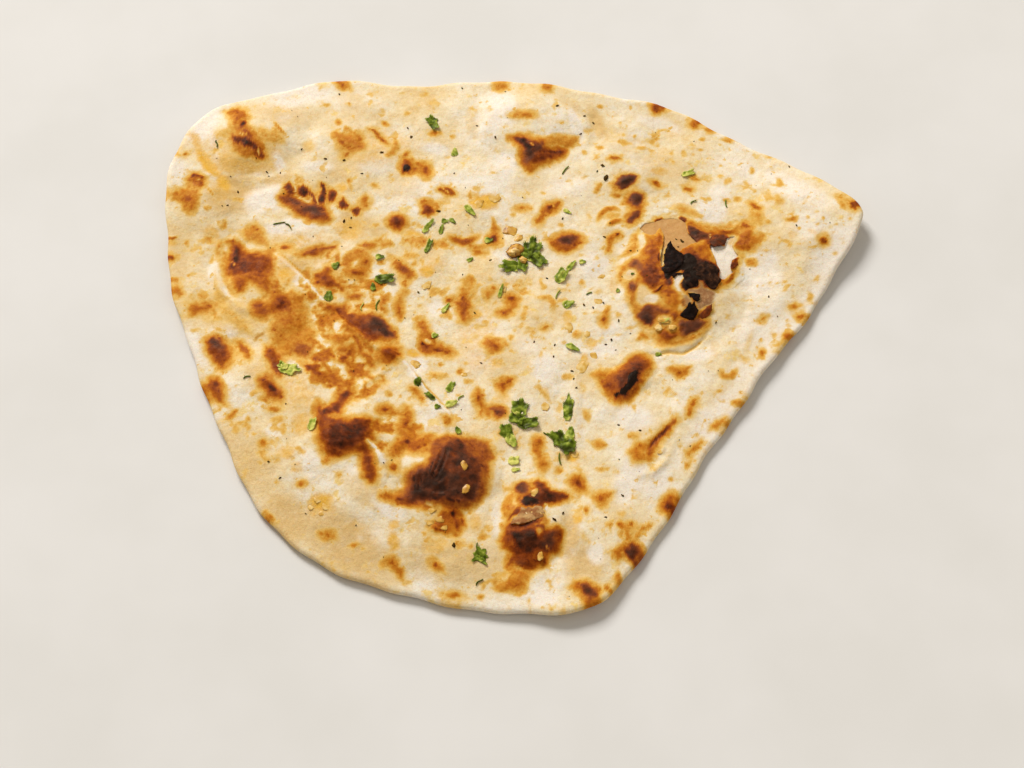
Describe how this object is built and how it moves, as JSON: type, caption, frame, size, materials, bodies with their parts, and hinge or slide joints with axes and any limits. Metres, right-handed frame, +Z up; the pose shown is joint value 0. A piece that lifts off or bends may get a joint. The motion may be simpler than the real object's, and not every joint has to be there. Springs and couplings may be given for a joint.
{
  "type": "naan bread",
  "caption": "Large teardrop-shaped tandoor flatbread with toasted and charred blisters, burst bubbles, chopped coriander and garlic on top.",
  "frame": {"origin": "middle of the bread's bounding box on the surface it lies on", "axes": "+X along the long side towards the pointed tip, +Y towards the straight top edge, +Z up out of the blistered face"},
  "size_m": [0.282, 0.245, 0.0117],
  "materials": {
    "bread": "soft matt baked dough, cream between golden, brown and black toasted spots, faintly greasy with butter",
    "coriander": "fresh green chopped leaf, satin",
    "garlic": "moist golden chopped garlic",
    "char": "brittle matt black charred crust"
  },
  "bodies": {
    "root": {"naan": "bread"}
  },
  "joints": []
}
